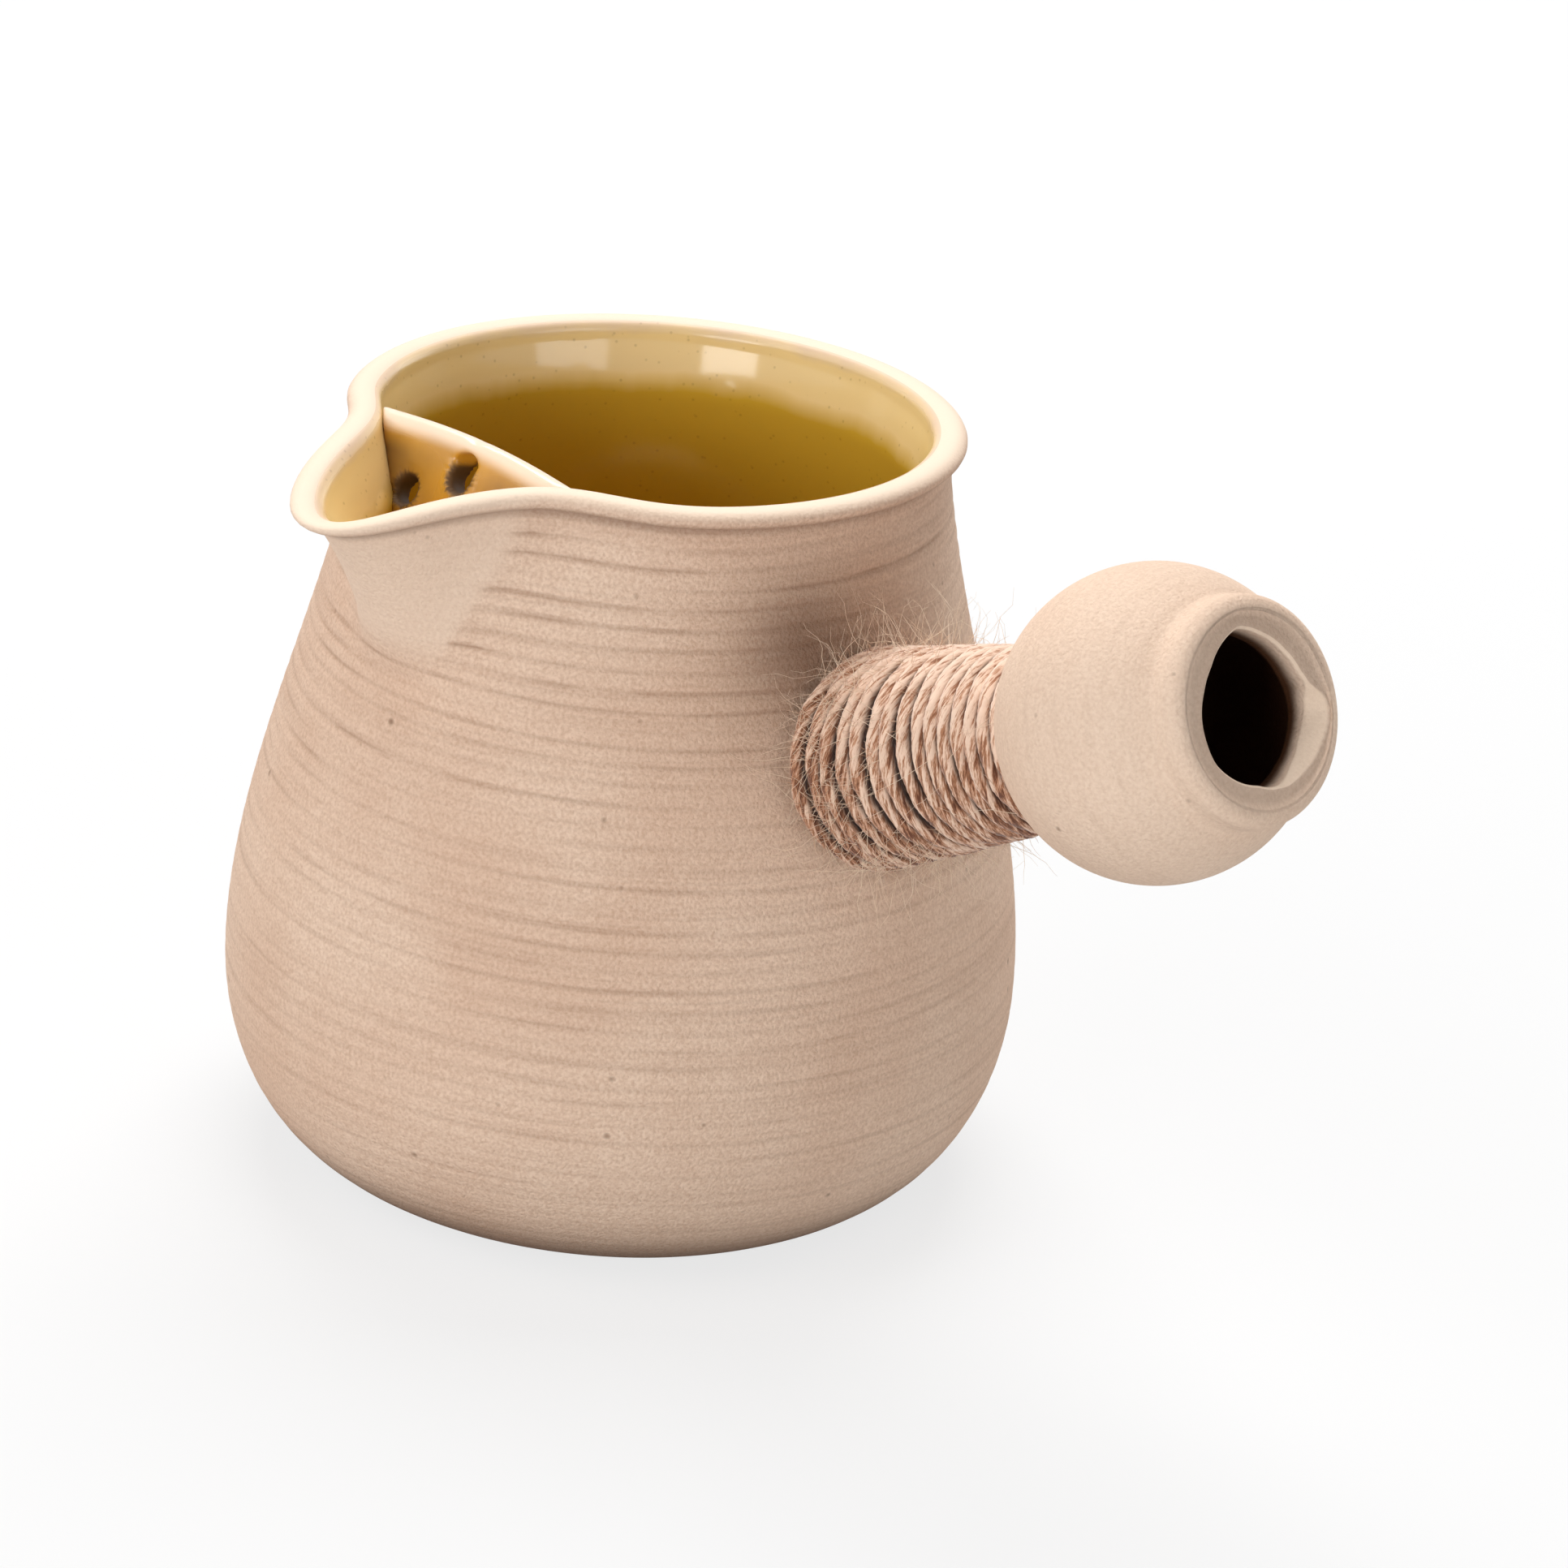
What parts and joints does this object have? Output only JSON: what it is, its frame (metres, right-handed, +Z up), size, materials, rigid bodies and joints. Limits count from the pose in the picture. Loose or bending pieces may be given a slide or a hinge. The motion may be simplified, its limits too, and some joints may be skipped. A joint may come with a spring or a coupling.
{
  "type": "side-handled tea pot",
  "caption": "Open side-handled stoneware tea pot with a pulled pouring lip, a pierced strainer wall behind the lip, an amber glazed inside and a hollow globe handle wound with twine.",
  "frame": {"origin": "middle of the flat foot, on the pot's axis, on the table", "axes": "+Z up along the pot's axis, +X along the handle as seen from above, the lip towards about -Y"},
  "size_m": [0.156, 0.1047, 0.105],
  "materials": {
    "stoneware": "unglazed buff stoneware with throwing rings, fine grain and dark specks",
    "amber_glaze": "glossy amber glaze",
    "glazed_strainer": "glossy amber glaze that breaks pale along the edge",
    "jute_twine": "natural jute twine with loose fibres"
  },
  "bodies": {
    "root": {"pot_body": "stoneware", "glaze_lining": "amber_glaze", "strainer_wall": "glazed_strainer", "side_handle": "stoneware", "twine_wrap": "jute_twine"}
  },
  "joints": []
}
